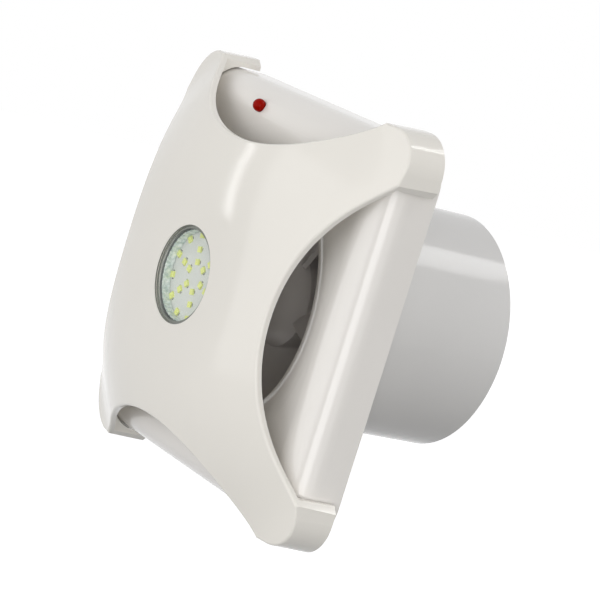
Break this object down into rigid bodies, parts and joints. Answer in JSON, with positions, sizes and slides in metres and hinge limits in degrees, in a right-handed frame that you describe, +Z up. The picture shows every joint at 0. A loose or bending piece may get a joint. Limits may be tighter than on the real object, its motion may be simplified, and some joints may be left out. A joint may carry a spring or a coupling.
{
  "type": "exhaust fan",
  "caption": "White bathroom exhaust fan: square wall frame, round duct spigot with axial impeller and motor, and a domed star-shaped cover with an LED lamp.",
  "frame": {"origin": "on the duct's axis in the wall's plane, at the back edge of the square frame", "axes": "+Y along the duct into the wall, +X to the right seen from the room, +Z up"},
  "size_m": [0.1694, 0.1283, 0.1694],
  "materials": {
    "cover_plastic": "glossy warm white",
    "frame_plastic": "glossy warm white",
    "duct_plastic": "satin warm white",
    "lens_clear": "clear, polished",
    "gasket_rubber": "matt",
    "board_white": "white solder mask",
    "led_phosphor": "yellow phosphor under clear gel",
    "indicator_red": "clear red",
    "impeller_plastic": "satin moulded",
    "bright_steel": "zinc plated",
    "lamination_steel": "dull stacked sheet",
    "can_steel": "zinc plated sheet",
    "coil_copper": "enamelled wire",
    "terminal_plastic": "matt",
    "terminal_brass": "plain",
    "lead_jacket": "satin sheath",
    "housing_plastic": "matt white",
    "driver_black": "potting resin"
  },
  "bodies": {
    "housing": {"front_frame": "frame_plastic", "fan_duct": "duct_plastic", "duct_screws": "bright_steel", "motor_can": "can_steel", "motor_end_cap": "can_steel", "motor_screws": "bright_steel", "front_bearing": "bright_steel", "rear_bearing": "bright_steel", "stator_core": "lamination_steel", "stator_coils": "coil_copper", "terminal_block": "terminal_plastic", "terminal_screws": "terminal_brass", "motor_lead": "lead_jacket", "indicator_lead": "lead_jacket", "socket_lead": "lead_jacket", "indicator_lens": "indicator_red", "led_socket": "terminal_plastic"},
    "rotor": {"impeller": "impeller_plastic", "impeller_nut": "bright_steel", "motor_shaft": "bright_steel", "rotor_core": "lamination_steel"},
    "cover": {"front_cover": "cover_plastic", "lamp_lens": "lens_clear", "lens_gasket": "gasket_rubber", "led_board": "board_white", "led_chips": "led_phosphor", "lamp_housing": "housing_plastic", "lamp_screws": "bright_steel", "led_driver": "driver_black", "lamp_lead": "lead_jacket", "led_plug": "housing_plastic"}
  },
  "joints": [
    {"name": "impeller_spin", "type": "hinge", "parent": "housing", "child": "rotor", "pos_m": [0, 0, 0], "axis": [0, 1, 0], "continuous": true},
    {"name": "cover_pull", "type": "slide", "parent": "housing", "child": "cover", "axis": [0, -1, 0], "range_m": [0, 0.06]}
  ]
}
